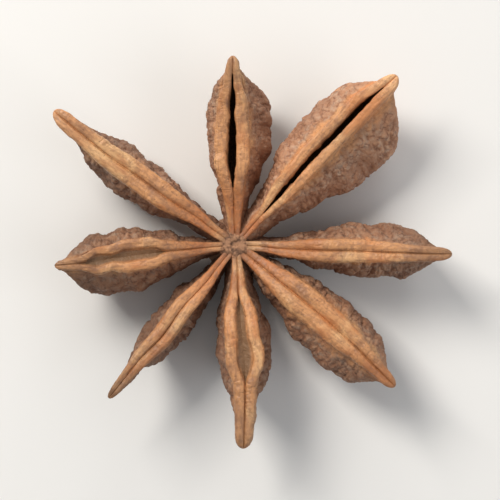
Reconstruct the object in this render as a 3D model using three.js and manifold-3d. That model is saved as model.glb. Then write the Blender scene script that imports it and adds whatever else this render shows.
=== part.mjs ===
// One dried star anise pod, lying on its keels with its seams up. Eight boat-shaped carpels stand round a
// short column, which ends underneath in the broken end of the stalk. Two of them gape along the seam and
// open into an empty chamber, and in two more the lips have parted over a shallow trough.
//
// Millimetres and degrees. +Z is up. The origin is on the ground under the column, at the centre of the
// flat stalk end. A carpel is drawn in its own frame first: x outwards from the column, y to its left, z up.

import * as THREE from "three";
import { mergeVertices } from "three/addons/utils/BufferGeometryUtils.js";
import Module from "manifold-3d";

// ---- Driving dimensions ----

// heading: direction of the tip from +X, counter-clockwise.    reach: from the column's axis to the tip.
// girth: across the flanks where they are widest.              depth: seam to keel at the belly.
// belly: where the keel is deepest, as a share of reach.       beak: length of the beak, the same way.
// blunt: how long the body stays full before the beak.         sway: how far the keel hangs to the left.
// bow: how far the tip bends to the left.                      rise: how far the beak turns up.
// lip: width of the thick lip on each side of the seam.        point: width of the beak near its end.
// gape: between the lips, from slitFrom to slitTo.             hollow: 1 where an empty chamber opens there.
const COLUMNS = [
  "heading", "reach", "girth", "depth", "belly", "beak", "blunt",
  "sway", "bow", "rise", "lip", "point", "gape", "slitFrom", "slitTo", "hollow",
];
const CARPELS = [
  [-2.7, 17.9, 4.2, 8.4, 0.6, 0.02, 2.5, 0.2, 0, 0.2, 0.95, 1.2, 0, 0.2, 0.8, 0],
  [49.3, 19.3, 7.3, 8.2, 0.62, 0.01, 2.0, -1.7, -0.9, 0.6, 0.8, 1.5, 0.5, 0.12, 0.95, 1],
  [93.0, 15.6, 5.1, 7.6, 0.58, 0.02, 1.9, -1.1, -0.5, 1.2, 1.15, 1.1, 0.55, 0.24, 0.93, 1],
  [145.9, 18.6, 3.6, 8.4, 0.5, 0.1, 1.8, 0.2, -0.75, 0.9, 1.1, 1.4, 0, 0.2, 0.8, 0],
  [185.0, 15.0, 5.1, 7.8, 0.6, 0.01, 2.2, 0.9, 0.4, 1.0, 0.9, 0.9, 0.75, 0.3, 0.9, 0],
  [230.5, 16.4, 3.3, 8.4, 0.46, 0.14, 1.6, 0, 0, 0.4, 0.9, 0.85, 0, 0.2, 0.8, 0],
  [275.0, 16.8, 4.1, 8.3, 0.48, 0.16, 1.7, 0, -0.75, 0, 1.0, 1.5, 1.0, 0.17, 0.7, 0],
  [320.6, 17.6, 4.9, 8.4, 0.58, 0.02, 2.3, -0.6, -0.6, 0, 1.35, 1.2, 0, 0.2, 0.8, 0],
].map((row) => Object.fromEntries(row.map((value, i) => [COLUMNS[i], value])));

const SEAM_HEIGHT = 8.2; // the seams above the ground, between column and beak
const CROWN_HEIGHT = 6.4; // the seams where they meet the column
const ROOT_RADIUS = 0.8; // where a carpel starts, from the column's axis
const ROOT_DEPTH = 0.5; // depth of a carpel there, as a share of its full depth
const ROOT_GIRTH = 0.25; // and its girth
const LIP_ROOT = 0.4; // width of a lip at the column, as a share of its full width
const RISEN = 0.4; // where seam and lips have grown to their full height and width, as a share of reach
const SLIMMING = { from: 0.55, to: 0.95 }; // where the lips slim down to the point, the same way
const SHUT_TURN = 140; // how far round its top a lip turns before it meets the other one, in degrees
const PARTED = 0.2; // half the gape at which the lips are wholly free of each other
const SQUARENESS = { shut: 0.8, parted: 0.6 }; // of a lip's top: at 1 it is round, towards 0 square
const GROOVE = { shut: 0.6, parted: 1.5 }; // depth of the groove between the lips, in half lips
const BEAK_DEPTH = { behind: 2.0, tip: 1.3 }; // depth of the beak
const BEAK_GIRTH = 0.8; // girth of the beak under its lips, as a share of the point's width
const TIP = 0.08; // length of the rounding at the tip, as a share of reach
const WALL = 0.65; // wall beside an empty chamber
const FLOOR = 0.9; // and under it
const PARTING = 0.16; // over which the lips part at each end of a slit, as a share of reach
const CHAMBER_INSET = 0.06; // by which the chamber is shorter than the slit, the same way
const WRINKLE = 0.1; // height of the coarse wrinkles on the flanks
const COLUMN_TOP = 1.2; // radius of the column between the seams
const RECEPTACLE = 2.4; // radius of the swelling under the carpels
const STALK = 1.0; // radius of the broken stalk

const STATIONS = 18; // cross sections along a carpel
const TIP_TURNS = [30, 60, 85]; // and round its tip, in degrees
const FLANK_POINTS = 6; // points of a cross section up each flank
const LIP_POINTS = 4; // points over each lip
const CHAMBER_POINTS = 4; // points down each wall of the chamber
const HUSK = new THREE.MeshStandardMaterial({ color: 0x8a5a3a, roughness: 0.75, metalness: 0 });

const wasm = await Module();
wasm.setup();

// ---- Curves ----

const { clamp, lerp, degToRad } = THREE.MathUtils;
const ramp = (from, to, x) => {
  const t = clamp((x - from) / (to - from), 0, 1);
  return t * t * (3 - 2 * t);
};

// 1 at x = 0, falling to 0 at x = 1: a dome, steep at its edge, or a bell, flat at both ends.
const dome = (x, power) => Math.sqrt(Math.max(0, 1 - Math.pow(Math.abs(x), power)));
const bell = (x, power) => (1 + Math.cos(Math.PI * Math.pow(clamp(x, 0, 1), power))) / 2;

// The larger of two lengths, with the corner between them rounded off.
const roundMax = (a, b) => Math.pow(Math.pow(a, 4) + Math.pow(b, 4), 1 / 4);

// A share between -1 and 1 pushed outwards by a power below 1, which turns a circle into a rounded square.
const square = (share, power) => Math.sign(share) * Math.pow(Math.abs(share), power);

// The bulge of a flank, 1 in its lower half and 0 at the keel (h = 0) and the seam (h = 1).
const bulge = (h) => Math.pow(Math.sin(Math.PI * Math.pow(clamp(h, 0, 1), 0.87)), 0.9);

// ---- One carpel, at the share s of the way from its root to its tip ----

function sizesAt(c, s) {
  const round = dome(Math.max(0, (s - 1 + TIP) / TIP), 2);
  const inner = clamp((c.belly - s) / c.belly, 0, 1);
  const fall = bell((s - c.belly) / (1 - c.beak - c.belly), c.blunt);
  const body = c.depth * fall * lerp(1, ROOT_DEPTH, inner * inner);
  const flank = (c.girth / 2) * fall * lerp(ROOT_GIRTH, 1, ramp(0, c.belly, s));
  const grown = c.lip * lerp(LIP_ROOT, 1, ramp(0, RISEN, s));
  const lips = lerp(2 * grown, c.point, ramp(SLIMMING.from, SLIMMING.to, s));
  const open = dome((2 * s - c.slitFrom - c.slitTo) / (c.slitTo - c.slitFrom - CHAMBER_INSET), 4);
  const part = ramp(c.slitFrom, c.slitFrom + PARTING, s) * ramp(c.slitTo, c.slitTo - PARTING, s);
  const gap = (c.gape / 2) * part;
  const beak = lerp(BEAK_DEPTH.behind, BEAK_DEPTH.tip, ramp(0.7, 1, s));
  const thin = (BEAK_GIRTH * c.point * beak) / BEAK_DEPTH.tip / 2;
  const droop = (BEAK_DEPTH.tip / 2) * (1 - round);
  return {
    seam: lerp(CROWN_HEIGHT, SEAM_HEIGHT, ramp(0, RISEN, s)) + c.rise * Math.pow(s, 4) - droop,
    depth: roundMax(body, beak * round),
    half: roundMax(flank, thin * round),
    lip: (lips / 4) * round,
    gap,
    parted: clamp(gap / PARTED, 0, 1),
    open: c.hollow * open,
    lean: (c.sway / c.depth) * ramp(0, c.belly, s),
    bow: c.bow * Math.pow(s, 3),
  };
}

// Coarse wrinkles run down the flanks and lean outwards. The lips, the beak and the root stay smooth.
function wrinkle(c, s, h, side) {
  const ripple = Math.sin(29 * s + 4 * h + side + c.heading) + 0.6 * Math.sin(41 * s - 7 * h + 2 * side);
  return WRINKLE * ripple * ramp(0.1, 0.3, s) * ramp(0.95, 0.75, s) * ramp(0.02, 0.2, h) * ramp(0.9, 0.7, h);
}

// Height of the lowest point between the lips: a shallow groove, or the floor of the chamber.
function footOfSeam({ seam, depth, lip, parted, open }) {
  const groove = seam - lip * lerp(GROOVE.shut, GROOVE.parted, parted);
  const floor = seam - depth + FLOOR;
  return lerp(groove, Math.min(groove, floor), open);
}

// One half of the cross section as [y, z] pairs, from beside the keel over the lip to the foot of the seam.
// side is 1 on the left and -1 on the right.
function halfSection(c, s, side) {
  const sizes = sizesAt(c, s);
  const { seam, depth, half, lip, gap, parted, open } = sizes;
  const keel = seam - depth;
  const crest = seam - lip;
  const foot = footOfSeam(sizes);
  const outside = (z) => {
    const h = (z - keel) / depth;
    const neck = (gap + lip + lip * dome(clamp((crest - z) / lip, 0, 1), 2)) * Math.sqrt(ramp(0, 0.6, h));
    return roundMax(half * bulge(h), neck) + wrinkle(c, s, h, side);
  };
  const points = [];
  for (let i = 1; i <= FLANK_POINTS; i++) {
    const z = lerp(keel, crest, (1 - Math.cos((Math.PI * i) / FLANK_POINTS)) / 2);
    points.push([outside(z), z]);
  }
  // The lip meets the flank on its outer side. It is rounder where the seam is shut than where it gapes.
  const shoulder = outside(crest) - gap - lip;
  const last = degToRad(lerp(SHUT_TURN, 180, parted));
  const power = lerp(SQUARENESS.shut, SQUARENESS.parted, parted);
  for (let i = 1; i <= LIP_POINTS; i++) {
    const turn = (last * i) / LIP_POINTS;
    const across = square(Math.cos(turn), power) * (turn < Math.PI / 2 ? shoulder : lip);
    points.push([gap + lip + across, crest + lip * square(Math.sin(turn), power)]);
  }
  // Down the wall of the chamber. Beyond its ends the same points lie in the groove between the lips.
  const [edge, edgeHeight] = points.at(-1);
  for (let i = 1; i <= c.hollow * CHAMBER_POINTS; i++) {
    const down = i / (CHAMBER_POINTS + 1);
    const z = lerp(edgeHeight, foot, down);
    const room = Math.max(gap, outside(z) - WALL) * dome(down, 4);
    points.push([lerp(edge * (1 - down), lerp(gap, room, ramp(0, 0.4, down)), open), z]);
  }
  return points;
}

// The whole cross section as a ring of points, from the keel up the left side and down the right one.
function section(c, s) {
  const sizes = sizesAt(c, s);
  const { seam, depth, lean, bow } = sizes;
  const left = halfSection(c, s, 1);
  const right = halfSection(c, s, -1).map(([y, z]) => [-y, z]);
  const outline = [[0, seam - depth], ...left, [0, footOfSeam(sizes)], ...right.reverse()];
  const x = lerp(ROOT_RADIUS, c.reach, s);
  return outline.map(([y, z]) => new THREE.Vector3(x, y + bow + lean * (seam - z), z));
}

function carpel(c) {
  const rings = [];
  for (let i = 0; i <= STATIONS; i++) rings.push(section(c, ((1 - TIP) * i) / STATIONS));
  for (const turn of TIP_TURNS) rings.push(section(c, 1 - TIP + TIP * Math.sin(degToRad(turn))));
  return skin(rings).rotateZ(degToRad(c.heading));
}

// A closed skin over rings of equally many points, with a fan over each end.
function skin(rings) {
  const count = rings[0].length;
  const points = rings.flat();
  const index = [];
  for (let i = 0; i + 1 < rings.length; i++) {
    for (let j = 0; j < count; j++) {
      const a = i * count + j;
      const b = i * count + ((j + 1) % count);
      index.push(a, b, b + count, a, b + count, a + count);
    }
  }
  for (const first of [0, points.length - count]) {
    const middle = new THREE.Vector3();
    for (let j = 0; j < count; j++) middle.addScaledVector(points[first + j], 1 / count);
    const hub = points.push(middle) - 1;
    for (let j = 0; j < count; j++) {
      const next = first + ((j + 1) % count);
      if (first === 0) index.push(next, first + j, hub);
      else index.push(first + j, next, hub);
    }
  }
  const geometry = new THREE.BufferGeometry().setFromPoints(points);
  geometry.setIndex(index);
  return geometry;
}

// ---- The column between the carpels, the swelling under them and the broken stalk down to the ground ----

function column() {
  const profile = [
    [0, 0],
    [STALK, 0],
    [STALK * 0.85, 0.8],
    [STALK * 1.1, 1.5],
    [RECEPTACLE * 0.8, 2.1],
    [RECEPTACLE, 2.9],
    [RECEPTACLE * 0.8, 4.2],
    [COLUMN_TOP, CROWN_HEIGHT - 0.5],
    [COLUMN_TOP * 0.8, CROWN_HEIGHT],
    [COLUMN_TOP * 0.35, CROWN_HEIGHT - 0.25],
    [0, CROWN_HEIGHT - 0.4],
  ].map(([r, z]) => new THREE.Vector2(r, z));
  return new THREE.LatheGeometry(profile, 24).rotateX(Math.PI / 2);
}

// ---- Joining ----

function solidOf(geometry) {
  const bare = geometry.clone();
  bare.deleteAttribute("normal");
  bare.deleteAttribute("uv");
  const merged = mergeVertices(bare, 1e-4);
  const vertProperties = new Float32Array(merged.getAttribute("position").array);
  const triVerts = new Uint32Array(merged.index.array);
  return new wasm.Manifold(new wasm.Mesh({ numProp: 3, vertProperties, triVerts }));
}

function geometryOf(solid) {
  const { vertProperties, triVerts } = solid.getMesh();
  const geometry = new THREE.BufferGeometry();
  geometry.setAttribute("position", new THREE.BufferAttribute(new Float32Array(vertProperties), 3));
  geometry.setIndex(new THREE.BufferAttribute(new Uint32Array(triVerts), 1));
  geometry.computeVertexNormals();
  return geometry;
}

function podSolid() {
  let pod = solidOf(column());
  for (const c of CARPELS) pod = pod.add(solidOf(carpel(c)));
  const ground = new THREE.BoxGeometry(60, 60, 10).translate(0, 0, -5);
  return pod.subtract(solidOf(ground));
}

// ---- The model ----

const model = new THREE.Group();
const pod = new THREE.Mesh(geometryOf(podSolid()), HUSK);
pod.name = "pod";
model.add(pod);

export default model;
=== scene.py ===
"""A dried star anise pod, dressed over its solid.

Eight boat-shaped carpels stand round a short column, lying on their keels with their seams up. Each
is one fine surface with wrinkled flanks, a pair of smoother lips along its seam and a beak at its
tip. Two of them gape over an empty chamber, and on two more the lips part over a trough. Metres
everywhere, in the frame of the solid: +Z is up, and the origin is on the ground under the column. A
carpel is worked out in a frame of its own: x outwards from the column, y to its left, z up.
"""

import logging
import math
from dataclasses import dataclass, field
from enum import Enum, IntEnum

import bpy
import numpy as np
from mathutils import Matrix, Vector

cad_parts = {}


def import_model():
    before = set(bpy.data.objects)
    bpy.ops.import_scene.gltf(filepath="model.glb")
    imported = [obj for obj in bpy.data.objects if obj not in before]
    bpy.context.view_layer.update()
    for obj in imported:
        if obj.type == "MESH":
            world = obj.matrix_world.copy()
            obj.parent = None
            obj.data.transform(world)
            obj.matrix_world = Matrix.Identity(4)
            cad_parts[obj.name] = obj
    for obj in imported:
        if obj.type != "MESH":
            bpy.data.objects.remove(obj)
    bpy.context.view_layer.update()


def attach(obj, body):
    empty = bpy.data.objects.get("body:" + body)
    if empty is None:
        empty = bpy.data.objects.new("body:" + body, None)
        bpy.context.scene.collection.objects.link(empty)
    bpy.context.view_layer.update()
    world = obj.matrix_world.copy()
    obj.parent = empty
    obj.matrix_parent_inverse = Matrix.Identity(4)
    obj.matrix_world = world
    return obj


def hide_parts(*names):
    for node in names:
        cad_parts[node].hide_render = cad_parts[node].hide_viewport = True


LOG = logging.getLogger("star_anise")
MM = 0.001
NODE = "pod"
BODY = "root"

Array = np.ndarray
Axes = tuple[float, float, float]
Colour = tuple[float, float, float]
Range = tuple[float, float]
Socket = bpy.types.NodeSocket
Value = Socket | float
Paint = Socket | Colour
Inputs = dict[str | int, Value | Paint]
EVEN: Axes = (1.0, 1.0, 1.0)


class Side(Enum):
    """The two flanks of a carpel, as seen from the column looking outwards."""

    LEFT = 1
    RIGHT = -1


class Seed(IntEnum):
    """The random numbers that each field of a carpel's relief draws on."""

    BEND = 3
    TWIST = 5
    STRENGTH = 7
    CREASE = 11
    DENT = 13
    GRAIN = 23
    FIBRE = 31
    THREAD = 37
    NICK = 41
    CRINKLE = 43
    PATCH = 47
    SWERVE = 51
    RISE = 53
    GAPE = 61


# ---- Curves ----


def lerp(a: Array | float, b: Array | float, share: Array | float) -> Array | float:
    """The value a share of the way from a to b: a + (b - a) * share."""
    return a + (b - a) * share


def ramp(start: float, end: float, x: Array | float) -> Array:
    """An S-shaped rise.

    Formula: with t the share of the way from start to end, held between 0 and 1, the result is 3t^2
    - 2t^3.

    Args:
        start: Where the result is 0.
        end: Where the result is 1; it may lie below start.
        x: Where to work it out.

    Returns:
        The height of the rise at x, between 0 and 1.
    """
    t = np.clip((x - start) / (end - start), 0.0, 1.0)
    return t * t * (3.0 - 2.0 * t)


def dome(x: Array, power: float) -> Array:
    """1 at x = 0, falling ever faster to 0 at x = 1: the square root of 1 - |x|^power."""
    return np.sqrt(np.clip(1.0 - np.abs(x) ** power, 0.0, 1.0))


def bell(x: Array, power: float) -> Array:
    """1 at x = 0 and 0 at x = 1, level at both: half of 1 + cos(pi * x^power)."""
    return (1.0 + np.cos(np.pi * np.clip(x, 0.0, 1.0) ** power)) / 2.0


def round_max(a: Array, b: Array) -> Array:
    """The larger of two lengths, the corner between them rounded: the fourth root of a^4 + b^4."""
    return (a**4 + b**4) ** 0.25


def square(share: Array, power: float) -> Array:
    """A share from -1 to 1, its size raised to a power: this turns a circle into a soft square."""
    return np.sign(share) * np.abs(share) ** power


def bulge(h: Array) -> Array:
    """Outline of a flank, 0 at the keel, h = 0, and at the seam, h = 1: sin(pi * h^0.87)^0.9."""
    return np.clip(np.sin(np.pi * np.clip(h, 0.0, 1.0) ** 0.87), 0.0, 1.0) ** 0.9


# ---- Random fields ----


@dataclass(frozen=True)
class Field:
    """A smooth random field in space, the same on every run.

    Attributes:
        seed: Chooses the field.
        table: How many random numbers it draws on.
    """

    seed: int
    table: int = 1024

    def at(self, points: Array) -> Array:
        """The field at each point.

        Formula: each corner of the unit cell round a point has a random number between -1 and 1,
        and the eight are blended by 3t^2 - 2t^3 of the point's place along each side of the cell.

        Args:
            points: An array of shape (..., 3), in cells.

        Returns:
            An array of shape (...), between -1 and 1.
        """
        rng = np.random.default_rng(self.seed)
        order = rng.permutation(self.table)
        number = rng.uniform(-1.0, 1.0, self.table)
        cell = np.floor(points).astype(np.int64)
        t = points - cell
        t = t * t * (3.0 - 2.0 * t)
        total = np.zeros(points.shape[:-1])
        for corner in np.ndindex(2, 2, 2):
            at = (cell + np.array(corner)) % self.table
            key = order[(order[at[..., 0]] + at[..., 1]) % self.table]
            key = order[(key + at[..., 2]) % self.table]
            weight = np.prod(np.where(np.array(corner) == 1, t, 1.0 - t), axis=-1)
            total += weight * number[key]
        return total

    def folds(self, points: Array, octaves: int) -> Array:
        """Plump folds between sharp furrows, as on a raisin.

        Formula: the size of the field, 0 in the furrows, raised to 0.8 and summed over octaves that
        each double the detail and have 0.55 of the height.

        Args:
            points: An array of shape (..., 3), in cells of the coarsest octave.
            octaves: How many sizes of fold there are.

        Returns:
            An array of shape (...), 0 in the deepest furrows and about 1 on the highest folds.
        """
        total = np.zeros(points.shape[:-1])
        for octave in range(octaves):
            total += np.abs(self.at(points * 2.0**octave + 17.3 * octave)) ** 0.8 * 0.55**octave
        return np.clip(total, 0.0, 1.2)


# ---- Carpels ----


@dataclass(frozen=True)
class Growth:
    """Sizes that all carpels of the pod share, in metres or as shares of a carpel's reach.

    Attributes:
        seam: Height of the seams between column and beak.
        crown: Height of the seams at the column.
        root_radius: Distance of a carpel's root from the column's axis.
        root_depth: Depth at the root, as a share of the full depth.
        root_girth: Girth at the root, as a share of the full girth.
        lip_root: Width of a lip at the column, as a share of its full width.
        beak_behind: Depth of the beak where it leaves the body.
        beak_tip: Depth of the beak at the tip.
        beak_girth: Girth of the beak under its lips, as a share of the point's width.
        tip: Length of the rounding at the tip, as a share of reach.
        risen: Where seam and lips have grown to their full height and width, as a share of reach.
        slimming: Where the lips slim down to the point, the same way.
        shut_turn: How far round its top a lip turns before it meets the other one, in degrees.
        parted: Half the gape at which the lips are wholly free of each other.
        squareness: Of a lip's top, where the seam is shut and where it gapes: at 1 it is round.
        groove: Depth of the groove between the lips, shut and parted, in half lips.
        wall: Thickness of the wall beside an empty chamber.
        floor: Thickness of the wall under it.
        parting: Length over which the lips part, as a share of reach.
        uneven: How much the gape varies along the slit, as a share of it.
        chamber_inset: How much shorter the chamber is than the slit, the same way.
        ripple: Height of the coarse ripples on the flanks.
        rim_outside: Where the lips' finish starts and is whole on the outer side, in half lips down.
        rim_inside: The same on their inner side.
        pale: The same for the pale band under the lips.
        meeting: How far from the seam's middle the relief starts to fade, and is gone.
    """

    seam: float = 8.2 * MM
    crown: float = 6.4 * MM
    root_radius: float = 0.8 * MM
    root_depth: float = 0.5
    root_girth: float = 0.25
    lip_root: float = 0.4
    beak_behind: float = 2.0 * MM
    beak_tip: float = 1.3 * MM
    beak_girth: float = 0.8
    tip: float = 0.08
    risen: float = 0.4
    slimming: Range = (0.55, 0.95)
    shut_turn: float = 140.0
    parted: float = 0.2 * MM
    squareness: Range = (0.8, 0.6)
    groove: Range = (0.6, 1.5)
    wall: float = 0.65 * MM
    floor: float = 0.9 * MM
    parting: float = 0.16
    uneven: float = 0.3
    chamber_inset: float = 0.06
    ripple: float = 0.1 * MM
    rim_outside: Range = (2.7, 1.2)
    rim_inside: Range = (1.25, 0.6)
    pale: Range = (4.5, 1.0)
    meeting: Range = (0.16 * MM, 0.03 * MM)


@dataclass(frozen=True)
class Mesh:
    """How finely a carpel is cut up.

    Attributes:
        stations: Cross sections along the carpel.
        tip_stations: Cross sections round its tip.
        flank: Points up each flank of a cross section.
        lip: Points over each lip.
        chamber: Points down each wall of a chamber.
        groove: Points down each side of a shut seam.
        inside: Points before and after a lip's last one between which the chamber's finish sets in.
    """

    stations: int = 270
    tip_stations: int = 22
    flank: int = 80
    lip: int = 36
    chamber: int = 40
    groove: int = 10
    inside: Range = (-3.0, 4.0)


@dataclass(frozen=True)
class Sizes:
    """The sizes of one carpel at each of its cross sections, as columns.

    Attributes:
        seam: Height of the top of the lips.
        depth: From there down to the keel.
        half: Half the girth.
        lip: Half the width of a lip.
        gap: Half the distance between the lips.
        parted: From 0, shut, to 1 where the lips are free of each other.
        open: From 0, a groove, to 1 where the chamber has its full depth.
        lean: How far the keel hangs to the left for each step down.
        bow: How far the seam lies to the left.
    """

    seam: Array
    depth: Array
    half: Array
    lip: Array
    gap: Array
    parted: Array
    open: Array
    lean: Array
    bow: Array


@dataclass(frozen=True)
class Relief:
    """Heights and spacings of what dries into the husk.

    Attributes:
        dent: How far the flanks bulge and sink at large.
        dent_size: The size of a bulge.
        fold: Height of the folds that run down the flanks.
        fold_size: Distance from one fold to the next.
        fold_lean: How far outwards they run for each step up.
        bend: How far wide sweeps and small twists bend them, in folds.
        bend_size: The size of a sweep and of a twist.
        strength_size: The distance from strong folds to weak ones.
        crease: Height of the net of creases between them.
        crease_size: Its size outwards, across the flank and up it.
        grain: Height of the fine leathery grain.
        grain_size: Its size.
        fibre: Height of the fibres along the lips.
        fibre_size: Their length, and their width both ways.
        crinkle: Height of the short creases across the lips.
        crinkle_size: Their spacing along the lip, and their length both ways across it.
        patch_size: The size of the patches in which they come.
        waver: How far the seam strays from its smooth line.
        waver_size: The length of a stray.
        nick: Depth of the nicks in the lips.
        nick_size: Their spacing.
        smoothing: How much of the flanks' relief the lips lack.
        flank_start: Where the flanks' relief sets in, as shares of reach.
        flank_end: Where it weakens towards the beak, the same way.
        crinkle_start: Where the short creases set in.
        nick_start: Where the nicks set in.
        nick_end: Where they end.
        fibre_end: Where the fibres of the lips spread over the whole beak.
        smooth_tip: Where all relief fades at the very tip.
    """

    dent: float = 0.26 * MM
    dent_size: float = 4.5 * MM
    fold: float = 0.17 * MM
    fold_size: float = 1.6 * MM
    fold_lean: float = 0.5
    bend: Range = (1.1, 0.3)
    bend_size: Range = (3.2 * MM, 1.1 * MM)
    strength_size: float = 3.6 * MM
    crease: float = 0.24 * MM
    crease_size: Axes = (0.9 * MM, 1.3 * MM, 2.2 * MM)
    grain: float = 0.05 * MM
    grain_size: float = 0.3 * MM
    fibre: float = 0.022 * MM
    fibre_size: Axes = (3.4 * MM, 0.32 * MM, 0.32 * MM)
    crinkle: float = 0.06 * MM
    crinkle_size: Axes = (0.75 * MM, 1.0 * MM, 1.0 * MM)
    patch_size: float = 1.9 * MM
    waver: float = 0.14 * MM
    waver_size: float = 3.1 * MM
    nick: float = 0.13 * MM
    nick_size: float = 1.1 * MM
    smoothing: float = 0.85
    flank_start: Range = (0.0, 0.16)
    flank_end: Range = (0.72, 0.96)
    crinkle_start: Range = (0.05, 0.3)
    nick_start: Range = (0.2, 0.35)
    nick_end: Range = (0.92, 0.8)
    fibre_end: Range = (0.8, 0.95)
    smooth_tip: Range = (1.0, 0.965)


@dataclass(frozen=True)
class Tone:
    """How pale a carpel is painted, from -1, dark, to 1, pale: partly the tone it has dried to and
    partly painted light and shade.

    Attributes:
        whole: Its tone at large.
        palest: Where it is paler still, as a share of reach.
        tip: What the beak has on top of that.
        flank: What the flanks have on top of that: painted light and shade, after how each carpel's
            flanks face the light.
        hump: How much paler the palest place is, partly its own paler patch and partly a painted
            highlight.
        spread: How far it spreads, as a share of reach.
    """

    whole: float
    palest: float
    tip: float
    flank: float
    hump: float = 0.7
    spread: float = 0.17

    def at(self, s: Array, pale: Array) -> Array:
        """The tone over the carpel.

        Formula: the whole's, plus a bell curve at the palest place, partly a painted highlight, a ramp
        to the tip and the flanks' painted light and shade away from the lips.

        Args:
            s: Shares of reach.
            pale: 1 on the lips and 0 away from them.

        Returns:
            The tone at each point.
        """
        hump = self.hump * np.exp(-(((s - self.palest) / self.spread) ** 2))
        return self.whole + hump + self.tip * ramp(0.6, 0.95, s) + self.flank * (1.0 - pale)


@dataclass(frozen=True)
class Carpel:
    """One carpel of the pod.

    Attributes:
        name: Name of the piece.
        heading: Direction of the tip from +X, counter-clockwise, in degrees.
        reach: From the column's axis to the tip.
        girth: Across the flanks where they are widest.
        depth: From seam to keel at the belly.
        belly: Where the keel is deepest, as a share of reach.
        beak: Length of the beak, the same way.
        blunt: How long the body stays full before the beak.
        sway: How far the keel hangs to the left.
        bow: How far the tip bends to the left.
        rise: How far the beak turns up.
        lip: Width of one lip.
        point: Width of the beak near its end.
        tone: How pale it is painted where, partly its own dried tone and partly painted light and
            shade.
        gape: Distance between the lips, 0 where the seam is shut.
        slit: Where the lips are parted, as shares of reach.
        hollow: 1 where the slit opens an empty chamber, 0 where it is only a groove.
        growth: Sizes that it shares with the others.
        relief: Its wrinkles.
        mesh: How finely it is cut up.
    """

    name: str
    heading: float
    reach: float
    girth: float
    depth: float
    belly: float
    beak: float
    blunt: float
    sway: float
    bow: float
    rise: float
    lip: float
    point: float
    tone: Tone
    gape: float = 0.0
    slit: Range = (0.2, 0.8)
    hollow: int = 0
    growth: Growth = field(default_factory=Growth)
    relief: Relief = field(default_factory=Relief)
    mesh: Mesh = field(default_factory=Mesh)

    def stations(self) -> Array:
        """Shares of the way from root to tip: even steps, then the sine of a turn round the tip."""
        tip = self.growth.tip
        body = np.linspace(0.0, 1.0 - tip, self.mesh.stations)
        turn = np.radians(np.linspace(0.0, 89.0, self.mesh.tip_stations + 1)[1:])
        return np.concatenate([body, 1.0 - tip + tip * np.sin(turn)])[:, None]

    def sizes(self, s: Array) -> Sizes:
        """The sizes of the cross sections.

        Formula: the depth and the girth rise from the root to the belly and fall as a bell to the
        beak, whose own depth is a lower limit. The lips swell away from the column and slim again
        along the beak. The tip is rounded by a factor that falls as a quarter circle over its last
        stretch. The seam rises as the fourth power of the way outwards, and bends as the third.

        Args:
            s: Shares of the way from root to tip, as a column.

        Returns:
            The sizes at each of them.
        """
        g = self.growth
        rounding = dome(np.clip((s - 1.0 + g.tip) / g.tip, 0.0, 1.0), 2.0)
        inner = np.clip((self.belly - s) / self.belly, 0.0, 1.0)
        fall = bell((s - self.belly) / (1.0 - self.beak - self.belly), self.blunt)
        body = self.depth * fall * lerp(1.0, g.root_depth, inner**2)
        flank = self.girth / 2.0 * fall * lerp(g.root_girth, 1.0, ramp(0.0, self.belly, s))
        grown = self.lip * lerp(g.lip_root, 1.0, ramp(0.0, g.risen, s))
        lips = lerp(2.0 * grown, self.point, ramp(*g.slimming, s))
        start, end = self.slit
        opened = dome((2.0 * s - start - end) / (end - start - g.chamber_inset), 4.0)
        gap = self.gape / 2.0 * ramp(start, start + g.parting, s) * ramp(end, end - g.parting, s)
        waver = Field(Seed.GAPE).at(s[..., None] * np.array([12.0, 0.0, 0.0]) + self.heading)
        gap = gap * (1.0 + g.uneven * waver)
        beak = lerp(g.beak_behind, g.beak_tip, ramp(0.7, 1.0, s))
        thin = g.beak_girth * self.point * beak / g.beak_tip / 2.0
        droop = g.beak_tip / 2.0 * (1.0 - rounding)
        return Sizes(
            seam=lerp(g.crown, g.seam, ramp(0.0, g.risen, s)) + self.rise * s**4 - droop,
            depth=round_max(body, beak * rounding),
            half=round_max(flank, thin * rounding),
            lip=lips / 4.0 * rounding,
            gap=gap,
            parted=np.clip(gap / g.parted, 0.0, 1.0),
            open=self.hollow * opened,
            lean=self.sway / self.depth * ramp(0.0, self.belly, s),
            bow=self.bow * s**3,
        )

    def ripple(self, s: Array, h: Array, side: Side) -> Array:
        """Coarse ripples down a flank: two sines of the place on it, faded towards its edges."""
        phase = np.sin(29.0 * s + 4.0 * h + side.value + self.heading)
        phase = phase + 0.6 * np.sin(41.0 * s - 7.0 * h + 2.0 * side.value)
        along = ramp(0.1, 0.3, s) * ramp(0.95, 0.75, s)
        return self.growth.ripple * phase * along * ramp(0.02, 0.2, h) * ramp(0.9, 0.7, h)

    def outside(self, s: Array, z: Array, sizes: Sizes, side: Side) -> Array:
        """Half width of the husk.

        Formula: the rounded larger of the bulging flank and the neck under the lip, plus the
        ripples.

        Args:
            s: Shares of the way from root to tip, as a column.
            z: Heights, one row for each share.
            sizes: The sizes there.
            side: Which flank.

        Returns:
            The distance of the outer skin from the seam's plane, the shape of z.
        """
        h = (z - sizes.seam + sizes.depth) / sizes.depth
        below = np.clip((sizes.seam - sizes.lip - z) / sizes.lip, 0.0, 1.0)
        neck = (sizes.gap + sizes.lip * (1.0 + dome(below, 2.0))) * np.sqrt(ramp(0.0, 0.6, h))
        return round_max(sizes.half * bulge(h), neck) + self.ripple(s, h, side)

    def foot(self, sizes: Sizes) -> Array:
        """Height of the lowest point between the lips: a shallow groove or the chamber's floor."""
        groove = sizes.seam - sizes.lip * lerp(*self.growth.groove, sizes.parted)
        floor = sizes.seam - sizes.depth + self.growth.floor
        return lerp(groove, np.minimum(groove, floor), sizes.open)

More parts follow.
